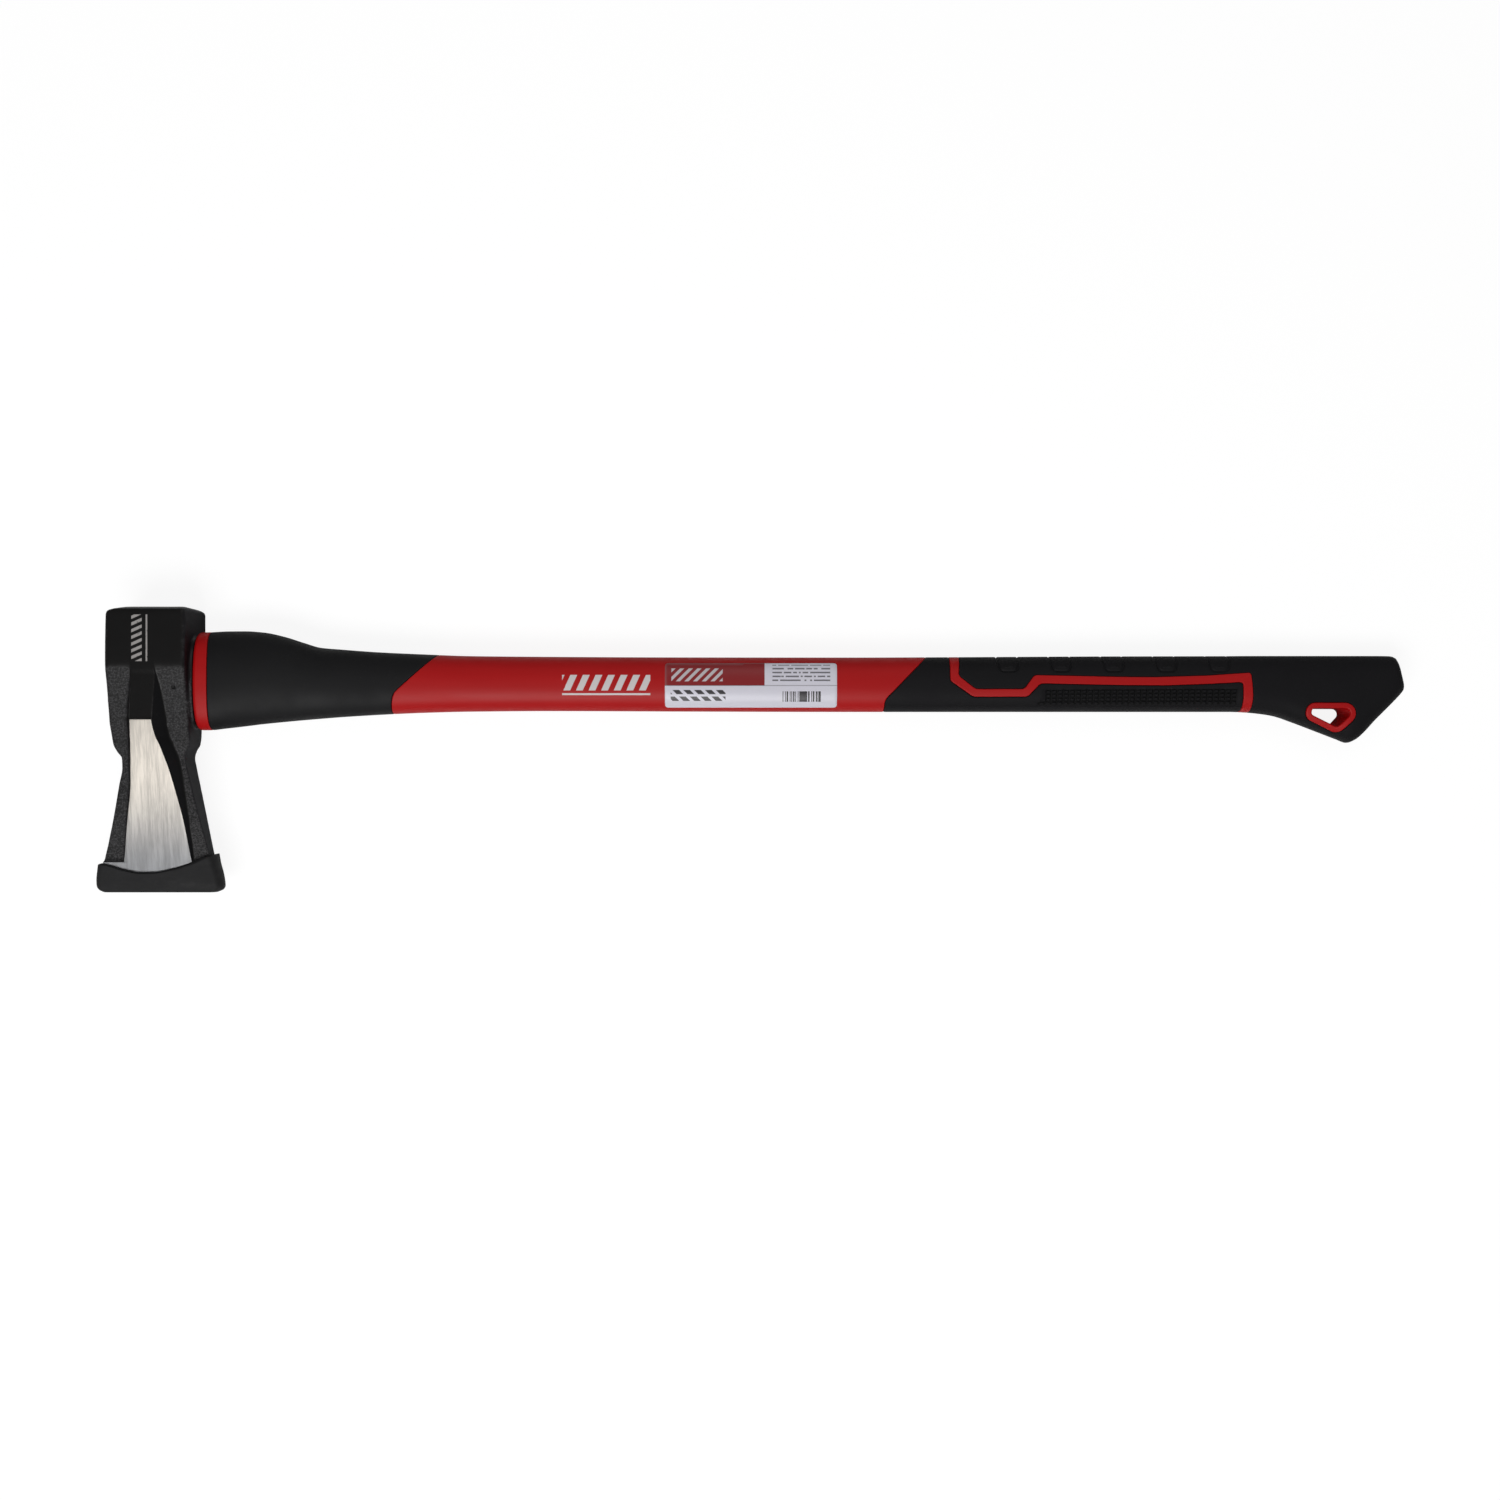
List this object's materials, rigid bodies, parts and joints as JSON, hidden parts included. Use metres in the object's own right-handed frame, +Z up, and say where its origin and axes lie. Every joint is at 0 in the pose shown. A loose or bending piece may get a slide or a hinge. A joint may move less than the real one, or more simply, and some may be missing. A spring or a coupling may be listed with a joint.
{
  "type": "splitting maul",
  "caption": "Splitting maul: forged wedge head on a jacketed fibreglass handle with soft grips and a lanyard hole; a rubber guard slides off the cutting edge.",
  "frame": {"origin": "on the ground under the middle of the tool's outline, as it lies on its side", "axes": "+X along the handle from the head to the knob, +Y from the cutting edge to the poll, +Z up, across the cheeks"},
  "size_m": [0.9119, 0.1985, 0.0476],
  "materials": {
    "forged_steel": "black painted forged steel, smooth on the poll, forged texture on the sides, ground bare on the wedge",
    "guard_rubber": "matte moulded rubber",
    "fibreglass": "pultruded fibreglass rod",
    "red_jacket": "satin moulded polypropylene",
    "soft_grip": "matte soft moulded rubber",
    "epoxy": "cured potting epoxy",
    "label_film": "printed film label"
  },
  "bodies": {
    "maul": {"head": "forged_steel", "handle_core": "fibreglass", "handle_jacket": "red_jacket", "front_collar": "soft_grip", "grip_belly": "soft_grip", "grip_back": "soft_grip", "eye_epoxy": "epoxy", "label": "label_film"},
    "edge_guard": {"edge_guard": "guard_rubber"}
  },
  "joints": [
    {"name": "guard_slide", "type": "slide", "parent": "maul", "child": "edge_guard", "axis": [0, -1, 0], "range_m": [0, 0.06]}
  ]
}
